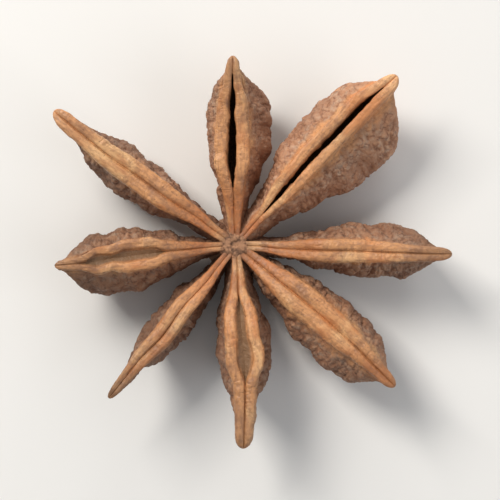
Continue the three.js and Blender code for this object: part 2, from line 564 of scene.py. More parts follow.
    def half_section(self, s: Array, sizes: Sizes, side: Side) -> tuple[Array, Array]:
        """One side of every cross section, from beside the keel over the lip to the seam's foot.

        Formula: up the flank at heights spaced as a cosine; over the lip as a soft square turned
        through up to half a circle; then down the chamber's wall, which keeps a set distance from
        the outer skin, or down the groove where the seam is shut.

        Args:
            s: Shares of the way from root to tip, as a column.
            sizes: The sizes there.
            side: Which side.

        Returns:
            Distances from the seam's plane and heights, each of shape (stations, points).
        """
        g, m = self.growth, self.mesh
        crest = sizes.seam - sizes.lip
        even = np.linspace(0.0, 1.0, m.flank + 1)[None, 1:]
        spacing = lerp((1.0 - np.cos(np.pi * even)) / 2.0, even, 0.5)
        flank_z = lerp(sizes.seam - sizes.depth, crest, spacing)
        flank_y = self.outside(s, flank_z, sizes, side)

        shoulder = self.outside(s, crest, sizes, side) - sizes.gap - sizes.lip
        power = lerp(*g.squareness, sizes.parted)
        last = np.radians(lerp(g.shut_turn, 180.0, sizes.parted))
        turn = last * np.linspace(0.0, 1.0, m.lip + 1)[None, 1:]
        across = square(np.cos(turn), power) * np.where(turn < np.pi / 2.0, shoulder, sizes.lip)
        lip_y = sizes.gap + sizes.lip + across
        lip_z = crest + sizes.lip * square(np.sin(turn), power)

        count = m.chamber if self.hollow else m.groove
        down = np.linspace(0.0, 1.0, count + 2)[None, 1:-1]
        edge_y, edge_z = lip_y[:, -1:], lip_z[:, -1:]
        wall_z = lerp(edge_z, self.foot(sizes), down)
        skin = self.outside(s, wall_z, sizes, side) - g.wall
        room = np.maximum(sizes.gap, skin) * dome(down, 4.0)
        room = lerp(sizes.gap, room, ramp(0.0, 0.4, down))
        wall_y = lerp(edge_y * (1.0 - down), room, sizes.open)
        return np.hstack([flank_y, lip_y, wall_y]), np.hstack([flank_z, lip_z, wall_z])

    def masks(self, sizes: Sizes, z: Array) -> dict[str, Array]:
        """Where the lips and the inside are on one side of the cross sections.

        Args:
            sizes: The sizes of the cross sections.
            z: The heights that half_section gave.

        Returns:
            "rim", 1 on the lips and 0 away from them, "pale", the same with a wide soft edge, and
            "inside", 0 outside and rising to 1 in the chamber.
        """
        g, m = self.growth, self.mesh
        past_lip = np.arange(z.shape[1])[None, :] - m.flank - m.lip
        outer = past_lip < 0
        under = (sizes.seam - z) / np.maximum(sizes.lip, 1e-6)
        return {
            "rim": np.where(outer, ramp(*g.rim_outside, under), ramp(*g.rim_inside, under)),
            "pale": np.where(outer, ramp(*g.pale, under), 1.0),
            "inside": ramp(*m.inside, past_lip) * np.ones_like(z),
        }

    def grid(self) -> tuple[Array, dict[str, Array]]:
        """The carpel's skin before its wrinkles, in its own frame.

        Returns:
            Points of shape (stations, ring, 3), the ring running from the keel up the left side and
            down the right one, and the masks, each of shape (stations, ring). "seam" is 1 where the
            lips meet.
        """
        s = self.stations()
        sizes = self.sizes(s)
        (left_y, left_z), (right_y, right_z) = (self.half_section(s, sizes, side) for side in Side)
        keel = sizes.seam - sizes.depth
        foot = self.foot(sizes)
        zero = np.zeros_like(s)
        y = np.hstack([zero, left_y, zero, -right_y[:, ::-1]])
        z = np.hstack([keel, left_z, foot, right_z[:, ::-1]])
        x = lerp(self.growth.root_radius, self.reach, s) * np.ones_like(y)
        near = ramp(*self.growth.meeting, np.abs(y))
        y = y + sizes.bow + sizes.lean * (sizes.seam - z)
        left, right = (self.masks(sizes, heights) for heights in (left_z, right_z))
        masks = {
            key: np.hstack([zero, mask, mask[:, -1:], right[key][:, ::-1]])
            for key, mask in left.items()
        }
        masks["along"] = s * np.ones_like(y)
        masks["height"] = np.clip((z - keel) / sizes.depth, 0.0, 1.0)
        masks["seam"] = near * ramp(0.4, 0.6, masks["height"])
        return np.stack([x, y, z], axis=-1), masks

    def heights(self, points: Array, masks: dict[str, Array], shift: Array) -> tuple[Array, Array]:
        """How far the wrinkles lift each point of the skin, and where their folds stand high.

        Formula: a fold is the size of a sine of the way outwards, bent by two fields and raised to
        0.7. The rest is made of fields in cells of their own sizes. The flanks have folds, creases
        and dents, the lips fibres, short creases and nicks, and all have grain. All of it fades at
        the very tip and where the lips meet.

        Args:
            points: The skin before its wrinkles.
            masks: Its masks.
            shift: Where in the fields this carpel lies, so that no two are alike.

        Returns:
            The height of each point, and its place between furrow and fold, from 0 to about 1.
        """

        def cells(size: float | Axes) -> Array:
            """The points in cells of a field."""
            return points / np.array(size) + shift

        r = self.relief
        rim, inside, along = masks["rim"], masks["inside"], masks["along"]
        flank = (1.0 - r.smoothing * rim) * (1.0 - inside)
        lively = ramp(*r.flank_start, along) * lerp(1.0, 0.35, ramp(*r.flank_end, along))

        sweeps = Field(Seed.BEND).at(cells(r.bend_size[0]))
        bend = r.bend[0] * sweeps + r.bend[1] * Field(Seed.TWIST).at(cells(r.bend_size[1]))
        outwards = (points[..., 0] - r.fold_lean * points[..., 2]) / r.fold_size
        strong = 0.6 + 0.5 * Field(Seed.STRENGTH).at(cells(r.strength_size))
        folds = np.abs(np.sin(np.pi * (outwards + bend))) ** 0.7 * strong
        creases = Field(Seed.CREASE).folds(cells(r.crease_size) + 0.5 * bend[..., None], 4)
        dents = Field(Seed.DENT).at(cells(r.dent_size))
        height = r.dent * dents + r.fold * (folds - 0.45) + r.crease * (creases - 0.5)
        height = height * flank * lively * ramp(0.0, 0.08, masks["height"])

        grain = Field(Seed.GRAIN).folds(cells(r.grain_size), 2)
        height = height + r.grain * (grain - 0.5) * lerp(0.25, 1.0, flank) * (1.0 - 0.8 * inside)

        fibres = Field(Seed.FIBRE).at(cells(r.fibre_size))
        fibres = fibres + 0.5 * Field(Seed.THREAD).at(points / np.array(r.fibre_size) * 2.1 + shift)
        fibrous = lerp(rim, 1.0, ramp(*r.fibre_end, along)) * lerp(1.0, 0.5, inside)
        crinkles = Field(Seed.CRINKLE).folds(cells(r.crinkle_size) + 1.1 * bend[..., None], 3)
        crinkles = crinkles * ramp(-0.5, 0.5, Field(Seed.PATCH).at(cells(r.patch_size)))
        crinkled = rim * ramp(*r.crinkle_start, along) * (1.0 - 0.5 * inside)
        nicks = ramp(0.5, 0.95, Field(Seed.NICK).at(cells(r.nick_size)))
        nicked = ramp(*r.nick_start, along) * ramp(*r.nick_end, along)
        height = height + r.fibre * fibres * fibrous + r.crinkle * (crinkles - 0.4) * crinkled
        height = height - r.nick * nicks * rim * (1.0 - inside) * nicked
        # crest, from furrow to fold, sets the finish's painted shade in the furrows and its paler
        # tops.
        deep = (r.fold * folds + r.crease * creases) / (r.fold + r.crease)
        crest = np.clip(lerp(0.5, deep * 1.25, lerp(0.3, 1.0, lively)), 0.0, 1.0)
        return height * ramp(*r.smooth_tip, along) * (1.0 - masks["seam"]), crest

    def wrinkled(self) -> tuple[Array, dict[str, Array]]:
        """The carpel's skin with its wrinkles.

        Formula: each point moves along the surface's normal by its height. Then the seam's waver
        moves whole cross sections sideways and up, less towards the keel.

        Returns:
            Points and masks as grid gives them, with "crest" added, the height of the folds, and
            "place", each point's place in the carpel's own frame, moved apart from the other
            carpels' for the finish.
        """
        r = self.relief
        points, masks = self.grid()
        seed = int(abs(self.heading) * 10.0)
        shift = np.array([seed % 97, seed % 53, seed % 31], dtype=float)
        height, masks["crest"] = self.heights(points, masks, shift)
        masks["place"] = points + shift * 3.0 * MM
        points = points + normals(points) * height[..., None]

        along = masks["along"]
        line = np.zeros((len(along), 1, 3))
        line[..., 0] = along[:, :1] * self.reach / r.waver_size
        upper = masks["height"] * ramp(0.05, 0.2, along)
        points[..., 1] += r.waver * Field(Seed.SWERVE).at(line + shift) * upper
        points[..., 2] += r.waver * Field(Seed.RISE).at(line * 0.8 + shift) * upper
        del masks["seam"]
        return points, masks

    def build(self) -> bpy.types.Object:
        """Makes the carpel in the pod's frame, turned to its heading and cut level at the ground.

        Returns:
            The carpel, with its masks as attributes.
        """
        points, masks = self.wrinkled()
        turn = math.radians(self.heading)
        x = points[..., 0] * math.cos(turn) - points[..., 1] * math.sin(turn)
        y = points[..., 0] * math.sin(turn) + points[..., 1] * math.cos(turn)
        z = np.maximum(points[..., 2], 0.0)
        masks["tone"] = self.tone.at(masks["along"], masks["pale"])
        return surface(self.name, np.stack([x, y, z], axis=-1), masks)


# ---- Surfaces ----


def in_scene(name: str, data: bpy.types.ID) -> bpy.types.Object:
    """A new object in the scene, made of the given mesh, light or camera."""
    item = bpy.data.objects.new(name, data)
    bpy.context.scene.collection.objects.link(item)
    return item


def normals(points: Array) -> Array:
    """Unit normals of a grid that is closed along its second direction.

    Formula: the cross product of the steps along the ring and from ring to ring, brought to length
    1.

    Args:
        points: An array of shape (rings, ring, 3).

    Returns:
        An array of the same shape, pointing out of the surface.
    """
    around = np.roll(points, -1, axis=1) - np.roll(points, 1, axis=1)
    onwards = np.gradient(points, axis=0)
    cross = np.cross(around, onwards)
    return cross / np.maximum(np.linalg.norm(cross, axis=-1, keepdims=True), 1e-12)


def surface(name: str, points: Array, masks: dict[str, Array]) -> bpy.types.Object:
    """Makes a closed mesh from rings of points, with a fan over each end.

    Args:
        name: Name of the object.
        points: An array of shape (rings, ring, 3), in metres.
        masks: Values or vectors for each point, stored as attributes of the same names.

    Returns:
        The object, at the origin, smooth shaded.
    """
    rings, ring = points.shape[:2]
    first = np.arange(rings - 1)[:, None] * ring + np.arange(ring)[None, :]
    after = np.arange(rings - 1)[:, None] * ring + (np.arange(ring)[None, :] + 1) % ring
    quads = np.stack([first, after, after + ring, first + ring], axis=-1).reshape(-1, 4)
    hubs = np.array([rings * ring, rings * ring + 1])
    start = np.stack([after[0], first[0], np.full(ring, hubs[0])], axis=-1)
    end = np.stack([first[-1] + ring, after[-1] + ring, np.full(ring, hubs[1])], axis=-1)
    vertices = np.vstack([points.reshape(-1, 3), points[0].mean(axis=0), points[-1].mean(axis=0)])

    mesh = bpy.data.meshes.new(name)
    corners = np.concatenate([quads.ravel(), start.ravel(), end.ravel()]).astype(np.int32)
    counts = np.concatenate([np.full(len(quads), 4), np.full(2 * ring, 3)]).astype(np.int32)
    mesh.vertices.add(len(vertices))
    mesh.vertices.foreach_set("co", vertices.ravel())
    mesh.loops.add(len(corners))
    mesh.loops.foreach_set("vertex_index", corners)
    mesh.polygons.add(len(counts))
    mesh.polygons.foreach_set("loop_start", (np.cumsum(counts) - counts).astype(np.int32))
    mesh.polygons.foreach_set("use_smooth", np.ones(len(counts), dtype=bool))
    mesh.update(calc_edges=True)
    mesh.validate()
    for key, values in masks.items():
        wide = values.reshape(rings, ring, -1)
        ends = wide[0].mean(axis=0), wide[-1].mean(axis=0)
        whole = np.vstack([wide.reshape(rings * ring, -1), *ends])
        kind, slot = ("FLOAT_VECTOR", "vector") if wide.shape[-1] == 3 else ("FLOAT", "value")
        layer = mesh.attributes.new(key, kind, "POINT")
        layer.data.foreach_set(slot, whole.astype(np.float32).ravel())
    return in_scene(name, mesh)


# ---- Column and stalk ----


@dataclass(frozen=True)
class Column:
    """The column between the carpels, the swelling under them and the broken stalk.

    Attributes:
        name: Name of the piece.
        crown: Height of its top.
        top: Radius of its top.
        receptacle: Radius of the swelling.
        stalk: Radius of the broken stalk.
        rings: Rings of the mesh from the ground up.
        around: Points round each ring.
        grain: Height of the bark's grain.
        grain_size: Its length down the column, and its width both ways.
        crumbs: Height of the crumbs on the top, in heights of the grain.
        crumb_size: Their size.
        ragged: How far the top's edge strays in wide and in narrow waves, as shares of its radius.
        waves: How closely those waves follow each other.
        seeds: Choose the grain, the crumbs, and the wide and the narrow waves.
    """

    name: str = "column"
    crown: float = 6.4 * MM
    top: float = 1.2 * MM
    receptacle: float = 2.4 * MM
    stalk: float = 1.0 * MM
    rings: int = 150
    around: int = 160
    grain: float = 0.09 * MM
    grain_size: Axes = (1.6 * MM, 0.3 * MM, 0.3 * MM)
    crumbs: float = 1.3
    crumb_size: float = 0.62 * MM
    ragged: Range = (0.18, 0.10)
    waves: Range = (2.1, 6.1)
    seeds: tuple[int, int, int, int] = (5, 6, 7, 8)

    def profile(self) -> Array:
        """The outline's corners, from the middle of the stalk's end to that of the top.

        Formula: each corner is a share of its part's radius, and a height in millimetres over its
        base.

        Returns:
            Radius and height of each corner.
        """
        parts = (
            (self.stalk, 0.0, (0.02, 0.0), (0.94, 0.0), (1.0, 0.06), (0.85, 0.8), (1.1, 1.5)),
            (self.receptacle, 0.0, (0.8, 2.1), (1.0, 2.9), (0.8, 4.2)),
            (self.top, self.crown, (1.0, -0.8), (1.0, -0.38), (0.86, -0.10), (0.62, 0.02)),
            (self.top, self.crown, (0.38, -0.02), (0.18, -0.16), (0.02, -0.22)),
        )
        return np.array(
            [
                (radius * share, base + up * MM)
                for radius, base, *corners in parts
                for share, up in corners
            ]
        )

    def build(self) -> bpy.types.Object:
        """Makes the column as a surface turned about the axis.

        Formula: the outline is followed at even steps of its length, and near the top its radius
        strays in two waves, so that the top laps raggedly over the ends of the lips. Each point
        then moves along the normal by lengthwise folds on the bark and by crumbs on the top, but
        not on the flat end that stands on the ground.

        Returns:
            The column, with its masks as attributes.
        """
        bark_seed, crumb_seed, *wave_seeds = self.seeds
        outline = self.profile()
        steps = np.linalg.norm(np.diff(outline, axis=0, prepend=outline[:1]), axis=1)
        length = np.cumsum(steps)
        at = np.linspace(0.0, length[-1], self.rings)
        radius = np.interp(at, length, outline[:, 0])[:, None]
        z = np.interp(at, length, outline[:, 1])[:, None]
        turn = np.linspace(0.0, 2.0 * np.pi, self.around, endpoint=False)[None, :]
        ring = np.stack([np.cos(turn), np.sin(turn), 0.0 * turn], axis=-1)
        waves = zip(self.ragged, wave_seeds, self.waves)
        ragged = sum(share * Field(seed).at(wave * ring) for share, seed, wave in waves)
        radius = radius * (1.0 + ragged * ramp(self.crown - 0.8 * MM, self.crown - 0.3 * MM, z))
        points = radius[..., None] * ring
        points[..., 2] = z

        rolled = np.broadcast_arrays(at[:, None], *(self.top * ring[..., :2]).transpose(2, 0, 1))
        upper = ramp(self.crown - 1.0 * MM, self.crown - 0.6 * MM, points[..., 2])
        place = lerp(np.stack(rolled, axis=-1), points, upper[..., None])
        bark = Field(bark_seed).folds(place / np.array(self.grain_size), 3)
        crumb = Field(crumb_seed).folds(points / self.crumb_size, 4)
        height = self.grain * lerp(bark, self.crumbs * crumb, upper)
        height = height * ramp(0.02 * MM, 0.3 * MM, points[..., 2])
        points = points + normals(points) * height[..., None]
        points[..., 2] = np.maximum(points[..., 2], 0.0)
        # crest, the height of the bark's grain and of the crumbs, sets the finish's painted shade in
        # their dips.
        masks = {
            "rim": upper,
            "crest": np.clip(lerp(0.5 + 0.6 * bark, crumb, upper), 0.0, 1.0),
            "break": ramp(0.04 * MM, 0.0, z * np.ones_like(turn)),
            "place": place,
        }
        return surface(self.name, points, masks)


# ---- Finishes ----


@dataclass(frozen=True)
class Bump:
    """A finish's fine relief: its height in metres, and how strongly it shows, from 0 to 1."""

    height: float
    strength: float


class Graph:
    """A material's nodes, with short ways to make and join them."""

    def __init__(self, name: str) -> None:
        """Starts a material with nothing but its shader and the place on the piece.

        Args:
            name: Name of the material.
        """
        self.material = bpy.data.materials.new(name)
        self.material.use_nodes = True
        self.tree = self.material.node_tree
        self.tree.nodes.clear()
        self.shader = self.add("BsdfPrincipled")
        self.add("OutputMaterial", {"Surface": self.shader.outputs["BSDF"]})
        self.place = self.add("Attribute", attribute_name="place").outputs["Vector"]

    def feed(self, node: bpy.types.Node, inputs: Inputs) -> None:
        """Links a node's inputs to sockets, or sets them where a value is a number or a colour."""
        for key, value in inputs.items():
            target = node.inputs[key]
            if isinstance(value, Socket):
                self.tree.links.new(value, target)
            else:
                target.default_value = (*value, 1.0) if target.type == "RGBA" else value

    def add(self, kind: str, inputs: Inputs | None = None, **settings: str | bool) -> bpy.types.Node:
        """Makes a node.

        Args:
            kind: Blender's name of it, without the leading ShaderNode.
            inputs: What goes into it, by the name or the number of the input.
            **settings: Its other settings.

        Returns:
            The node.
        """
        node = self.tree.nodes.new(f"ShaderNode{kind}")
        for key, value in settings.items():
            setattr(node, key, value)
        self.feed(node, inputs or {})
        return node

    def mask(self, name: str) -> Socket:
        """An attribute of the mesh."""
        return self.add("Attribute", attribute_name=name).outputs["Fac"]

    def math(self, kind: str, a: Value, b: Value = 0.0, clamp: bool = False) -> Socket:
        """One arithmetic step on a and b, by Blender's name, held between 0 and 1 if clamped."""
        return self.add("Math", {0: a, 1: b}, operation=kind, use_clamp=clamp).outputs[0]

    def times(self, a: Value, b: Value) -> Socket:
        """The product a * b."""
        return self.math("MULTIPLY", a, b)

    def swing(self, noise: Socket, width: float) -> Socket:
        """A noise about 0 in place of 0.5, and as many times as wide: (noise - 0.5) * width."""
        return self.times(self.math("SUBTRACT", noise, 0.5), width)

    def mix(self, share: Value, a: Paint, b: Paint) -> Socket:
        """A colour the given share of the way from a to b. The node's colours are 6, 7 and 2."""
        return self.add("Mix", {0: share, 6: a, 7: b}, data_type="RGBA").outputs[2]

    def spread(self, value: Value, start: float, end: float) -> Socket:
        """A value stretched so that start becomes 0 and end becomes 1, and held between them."""
        inputs = {"Value": value, "From Min": start, "From Max": end}
        return self.add("MapRange", inputs, interpolation_type="SMOOTHSTEP").outputs["Result"]

    def scaled(self, size: float, stretch: Axes) -> Socket:
        """The place on the piece in cells of the given size, each axis stretched by its factor."""
        scale = tuple(1.0 / (size * share) for share in stretch)
        return self.add("Mapping", {"Vector": self.place, "Scale": scale}).outputs["Vector"]

    def noise(self, size: float, detail: float, stretch: Axes = EVEN) -> Socket:
        """Noise in the piece's own space.

        Args:
            size: Size of its largest features, in metres.
            detail: How much finer detail it has.
            stretch: How many times longer the features are along each axis.

        Returns:
            A value about 0.5, between 0 and 1.
        """
        inputs = {"Vector": self.scaled(size, stretch), "Scale": 1.0, "Detail": detail}
        return self.add("TexNoise", inputs).outputs["Fac"]

    def wrinkles(self, size: float, stretch: Axes) -> Socket:
        """Leathery wrinkles.

        Formula: five times the distance of a noise from its middle, read at a place that another
        noise bends, so that the furrows follow winding lines.

        Args:
            size: Distance from one wrinkle to the next, in metres.
            stretch: How many times longer they are along each axis.

        Returns:
            0 in the furrows and up to 1 on the folds between them.
        """
        place = self.scaled(size, stretch)
        bend = self.add("TexNoise", {"Vector": place, "Scale": 0.6}).outputs["Color"]
        steps = {0: bend, 1: (1.6, 1.6, 1.6), 2: place}
        bent = self.add("VectorMath", steps, operation="MULTIPLY_ADD").outputs["Vector"]
        noise = self.add("TexNoise", {"Vector": bent, "Scale": 0.8, "Detail": 1.0}).outputs["Fac"]
        away = self.math("ABSOLUTE", self.math("SUBTRACT", noise, 0.5))
        return self.math("MULTIPLY", away, 5.0, clamp=True)

    def bump(self, height: Socket, relief: Bump, below: Socket | None = None) -> Socket:
        """A bumped normal.

        Args:
            height: Height of the bumps, from 0 to 1.
            relief: What a height of 1 is and how strongly it shows.
            below: Another bumped normal to add to.

        Returns:
            The normal.
        """
        inputs = {"Height": height, "Distance": relief.height, "Strength": relief.strength}
        if below is not None:
            inputs["Normal"] = below
        return self.add("Bump", inputs).outputs["Normal"]


@dataclass(frozen=True)
class Patches:
    """A colour laid over a finish in patches.

    Attributes:
        colour: The colour.
        size: Size of the patches.
        detail: How ragged they are.
        stretch: How many times longer they are along each axis.
        edge: Values of the noise at which a patch starts and is whole.
        strength: How much of the colour a whole patch has.
    """

    colour: Colour
    size: float
    detail: float
    stretch: Axes
    edge: Range
    strength: float

    def over(self, g: Graph, colour: Paint) -> Socket:
        """The given colour under the patches, whose share is a noise spread over their edge."""
        share = g.spread(g.noise(self.size, self.detail, self.stretch), *self.edge)
        return g.mix(g.times(share, self.strength), colour, self.colour)


@dataclass(frozen=True)
class HuskFinish:
    """The dried husk: dark wrinkled flanks, smoother tan lips and a chamber with a slight shine.

    Attributes:
        name: Name of the material.
        furrow: Colour in the furrows of the flanks, painted shade there, and of the dark dots on the
            lips.
        flank: Colour of the flanks.
        fold: Colour of the paler tops of their folds, partly worn blotches and partly painted light,
            and of the upper flanks as painted light.
        ash: Greyish bloom on those tops.
        lip_root: Colour of the lips at the column.
        lip: Colour of the lips.
        lip_tip: Colour of the beak.
        worn: Colour of the palest patches on the lips.
        russet: Colour of the reddest ones.
        chamber: Colour deep down the chamber's wall and on the bottom of a trough, darker there as
            painted shade of the recess.
        shade: Brightness of the colours at a tone of 0, and what a tone of 1 adds.
        flank_rough: Roughness of the flanks.
        lip_rough: Roughness of the lips.
        chamber_rough: Roughness of the chamber.
        rough_swing: How far the roughness varies.
        specular: Strength of the reflections.
        skin: Relief of the leathery wrinkles.
        crease: Relief of the short creases across the lips.
        fibre: Relief of the fibres.
        grain: Relief of the finest grain.
    """

    name: str = "husk"
    furrow: Colour = (0.070, 0.030, 0.016)
    flank: Colour = (0.230, 0.108, 0.060)
    fold: Colour = (0.380, 0.200, 0.112)
    ash: Colour = (0.370, 0.262, 0.190)
    lip_root: Colour = (0.500, 0.175, 0.060)
    lip: Colour = (0.565, 0.270, 0.115)
    lip_tip: Colour = (0.540, 0.275, 0.130)
    worn: Colour = (0.780, 0.480, 0.235)
    russet: Colour = (0.470, 0.165, 0.052)
    chamber: Colour = (0.215, 0.118, 0.058)
    shade: Range = (0.92, 0.27)
    flank_rough: float = 0.76
    lip_rough: float = 0.50
    chamber_rough: float = 0.34
    rough_swing: float = 0.5
    specular: float = 0.42
    skin: Bump = Bump(0.10 * MM, 0.8)
    crease: Bump = Bump(0.035 * MM, 0.8)
    fibre: Bump = Bump(0.06 * MM, 0.8)
    grain: Bump = Bump(0.03 * MM, 0.7)

    def flanks(self, g: Graph, leather: Socket) -> Socket:
        """Colour of the flanks.

        Formula: from furrow to flank to fold with the height of the wrinkles and towards the lips:
        painted shade in the furrows, paler tops, partly worn blotches and partly painted light, and
        painted light on the upper flanks. Darker in the fine leathery furrows as painted shade, and
        with an ashy bloom on the tops in patches.

        Args:
            g: The material's nodes.
            leather: Height of the fine wrinkles, from 0 to 1.

        Returns:
            The colour.
        """
        crest = g.mask("crest")
        blotch = g.spread(g.noise(2.6 * MM, 4.0), 0.35, 0.68)
        # Painted shade: the flanks darken to the furrow colour in the furrows of the folds.
        low = g.mix(g.spread(crest, 0.05, 0.45), self.furrow, self.flank)
        # Painted light: the upper flanks, near the lips, turn towards the paler fold colour.
        upper = g.times(g.spread(g.mask("height"), 0.5, 0.95), g.spread(crest, 0.0, 0.6))
        # The tops of the folds are paler, partly in worn blotches and partly as painted light.
        top = g.times(g.spread(crest, 0.35, 0.95), g.math("ADD", 0.35, g.times(blotch, 0.65)))
        top = g.math("MAXIMUM", top, upper)
        colour = g.mix(g.times(top, g.spread(leather, 0.05, 0.7)), low, self.fold)
        bloom = g.times(g.spread(g.noise(0.5 * MM, 3.0), 0.42, 0.70), g.times(top, 0.8))
        colour = g.mix(bloom, colour, self.ash)
        # Painted shade in the fine leathery furrows.
        return g.mix(g.times(g.spread(leather, 0.26, 0.0), 0.45), colour, self.furrow)

    def patches(self) -> tuple[Patches, ...]:
        """What is laid over the lips: worn patches, stains, dots, scurf and russet patches."""
        return (
            Patches(self.worn, 2.6 * MM, 4.0, (1.6, 1.0, 1.0), (0.47, 0.68), 0.7),
            Patches(self.flank, 1.5 * MM, 6.0, EVEN, (0.48, 0.70), 0.72),
            Patches(self.furrow, 0.26 * MM, 2.0, EVEN, (0.66, 0.76), 0.5),
            Patches(self.flank, 0.24 * MM, 5.0, (2.0, 1.0, 1.0), (0.46, 0.62), 0.4),
            Patches(self.russet, 2.1 * MM, 3.0, (1.8, 1.0, 1.0), (0.50, 0.66), 0.6),
        )

    def lips(self, g: Graph, along: Socket, fibres: Socket, creases: Socket) -> Socket:
        """Colour of the lips.

        Formula: from root to tip along the carpel, under the patches, streaked along the fibres,
        and darker as painted shade in the short creases and where the lips go under the top of the
        column.

        Args:
            g: The material's nodes.
            along: The way from root to tip, from 0 to 1.
            fibres: Lengthwise streaks, from 0 to 1.
            creases: 0 in the creases, up to 1 between them.

        Returns:
            The colour.
        """
        colour = g.mix(g.spread(along, 0.05, 0.4), self.lip_root, self.lip)
        colour = g.mix(g.spread(along, 0.72, 0.98), colour, self.lip_tip)
        for patches in self.patches():
            colour = patches.over(g, colour)
        # Darker towards the flank colour: painted shade in the short creases and where the lips go
        # under the column's top, and the lips' own streaks along the fibres.
        for place, strength in (
            (g.spread(creases, 0.28, 0.0), 0.35),
            (g.spread(fibres, 0.48, 0.78), 0.36),
            (g.spread(along, 0.07, 0.0), 0.6),
        ):
            colour = g.mix(g.times(place, strength), colour, self.flank)
        return colour

    def build(self) -> bpy.types.Material:
        """Makes the material.

        Formula: the masks choose between flank, lip and chamber, with a ragged edge between flank
        and lip, and each has its own colour, roughness and bump. The carpel's tone brightens or
        darkens the colour.

        Returns:
            The material.
        """
        g = Graph(self.name)
        along, inside, rim = g.mask("along"), g.mask("inside"), g.mask("rim")
        ragged = g.noise(1.1 * MM, 5.0)
        fibres = g.noise(0.16 * MM, 3.0, (10.0, 1.0, 1.0))
        creases = g.wrinkles(0.50 * MM, (0.75, 1.5, 1.5))
        creases = g.math("ADD", creases, g.spread(g.noise(1.1 * MM, 2.0), 0.42, 0.60), clamp=True)
        leather = g.times(g.wrinkles(0.75 * MM, (1.0, 1.0, 1.7)), 0.6)
        leather = g.math("ADD", leather, g.times(g.wrinkles(0.32 * MM, (1.0, 1.0, 1.4)), 0.4))

        lip = self.lips(g, along, fibres, creases)
        edge = g.spread(g.math("ADD", g.mask("pale"), g.swing(ragged, 1.4)), 0.15, 0.95)
        beak = g.times(g.spread(along, 0.84, 0.97), 0.75)
        pale = g.math("MAXIMUM", g.math("MAXIMUM", edge, beak), rim)
        outer = g.mix(pale, self.flanks(g, leather), lip)
        # The tone's brightness carries painted light: the pale hump is partly a painted highlight and
        # the flank tones are painted light and shade. Deep in the chamber and on a trough's floor the
        # chamber colour is painted shade.
        dark, gain = self.shade
        shade = {
            "Value": g.math("ADD", dark, g.times(g.mask("tone"), gain)),
            "Color": g.mix(inside, outer, g.mix(rim, self.chamber, lip)),
        }

        lip_shine = g.times(rim, self.flank_rough - self.lip_rough)
        chamber_shine = g.times(inside, self.lip_rough - self.chamber_rough)
        rough = g.math("SUBTRACT", self.flank_rough, lip_shine)
        rough = g.math("SUBTRACT", rough, chamber_shine)
        rough = g.math("ADD", rough, g.swing(ragged, self.rough_swing), clamp=True)

        flat = g.math("SUBTRACT", 1.0, g.times(rim, 0.8))
        normal = g.bump(g.times(leather, flat), self.skin)
        normal = g.bump(g.times(creases, rim), self.crease, normal)
        normal = g.bump(g.times(fibres, g.math("MAXIMUM", rim, 0.25)), self.fibre, normal)
        normal = g.bump(g.noise(0.11 * MM, 3.0), self.grain, normal)
        inputs = {
            "Base Color": g.add("HueSaturation", shade).outputs["Color"],
            "Roughness": rough,
            "Specular IOR Level": self.specular,
            "Normal": normal,
        }
        g.feed(g.shader, inputs)
        return g.material


@dataclass(frozen=True)
class ColumnFinish:
    """The column's bark, its crumbly top and the broken wood of the stalk.

    Attributes:
        name: Name of the material.
        bark: Colour of the bark in the furrows of its grain, darkened there as painted shade.
        bark_ridge: Colour of the tops of its grain.
        crown: Colour of the column's top in the dips between its crumbs, darkened there as painted
            shade.
        crown_crumb: Colour of the paler crumbs on it.
        wood: Colour of the broken wood.
        pith: Colour of the pores in it.
        rough: Roughness.
        specular: Strength of the reflections.
        pores: Relief of the pores.
    """

    name: str = "column"
    bark: Colour = (0.090, 0.040, 0.021)
    bark_ridge: Colour = (0.290, 0.155, 0.088)
    crown: Colour = (0.115, 0.055, 0.030)
    crown_crumb: Colour = (0.400, 0.205, 0.110)
    wood: Colour = (0.520, 0.360, 0.210)
    pith: Colour = (0.200, 0.110, 0.055)
    rough: float = 0.75
    specular: float = 0.4
    pores: Bump = Bump(0.04 * MM, 0.5)

    def build(self) -> bpy.types.Material:
        """Makes the material: bark and top coloured by their relief, darker in its dips as painted
        shade, pored wood at the break.
        """
        g = Graph(self.name)
        fine = g.noise(0.12 * MM, 4.0, (3.0, 1.0, 1.0))
        crest = g.mask("crest")
        # Painted shade: the bark darkens in the furrows of its grain.
        bark = g.mix(g.spread(crest, 0.2, 0.8), self.bark, self.bark_ridge)
        crumbs = g.math("ADD", crest, g.swing(g.noise(0.30 * MM, 5.0), 2.2))
        # Painted shade: the top darkens in the dips between its crumbs, with random mottling.
        top = g.mix(g.spread(crumbs, 0.2, 1.2), self.crown, self.crown_crumb)
        colour = g.mix(g.mask("rim"), bark, top)
        wood = g.mix(g.spread(fine, 0.45, 0.65), self.wood, self.pith)
        inputs = {
            "Base Color": g.mix(g.mask("break"), colour, wood),
            "Roughness": self.rough,
            "Specular IOR Level": self.specular,
            "Normal": g.bump(fine, self.pores),
        }
        g.feed(g.shader, inputs)
        return g.material


@dataclass(frozen=True)
class FloorFinish:
    """A plain pale floor."""

    name: str = "floor"
    colour: Colour = (0.80, 0.79, 0.77)
    rough: float = 0.9

    def build(self) -> bpy.types.Material:
        """Makes the material."""
        g = Graph(self.name)
        g.feed(g.shader, {"Base Color": self.colour, "Roughness": self.rough})
        return g.material


# ---- Studio ----


@dataclass(frozen=True)
class Lamp:
    """One soft light, aimed at the pod.

    Attributes:
        name: Name of the light.
        place: Where it is.
        width: Width of its face.
        watts: Its power.
        colour: Its colour.
    """

    name: str
    place: Axes
    width: float
    watts: float
    colour: Colour

    def build(self) -> None:
        """Hangs the light and turns its face, along -Z, to the pod."""
        data = bpy.data.lights.new(self.name, "AREA")
        data.size = self.width
        data.energy = self.watts
        data.color = self.colour
        lamp = in_scene(self.name, data)
        lamp.location = self.place
        lamp.rotation_euler = (-Vector(self.place)).to_track_quat("-Z", "Y").to_euler()


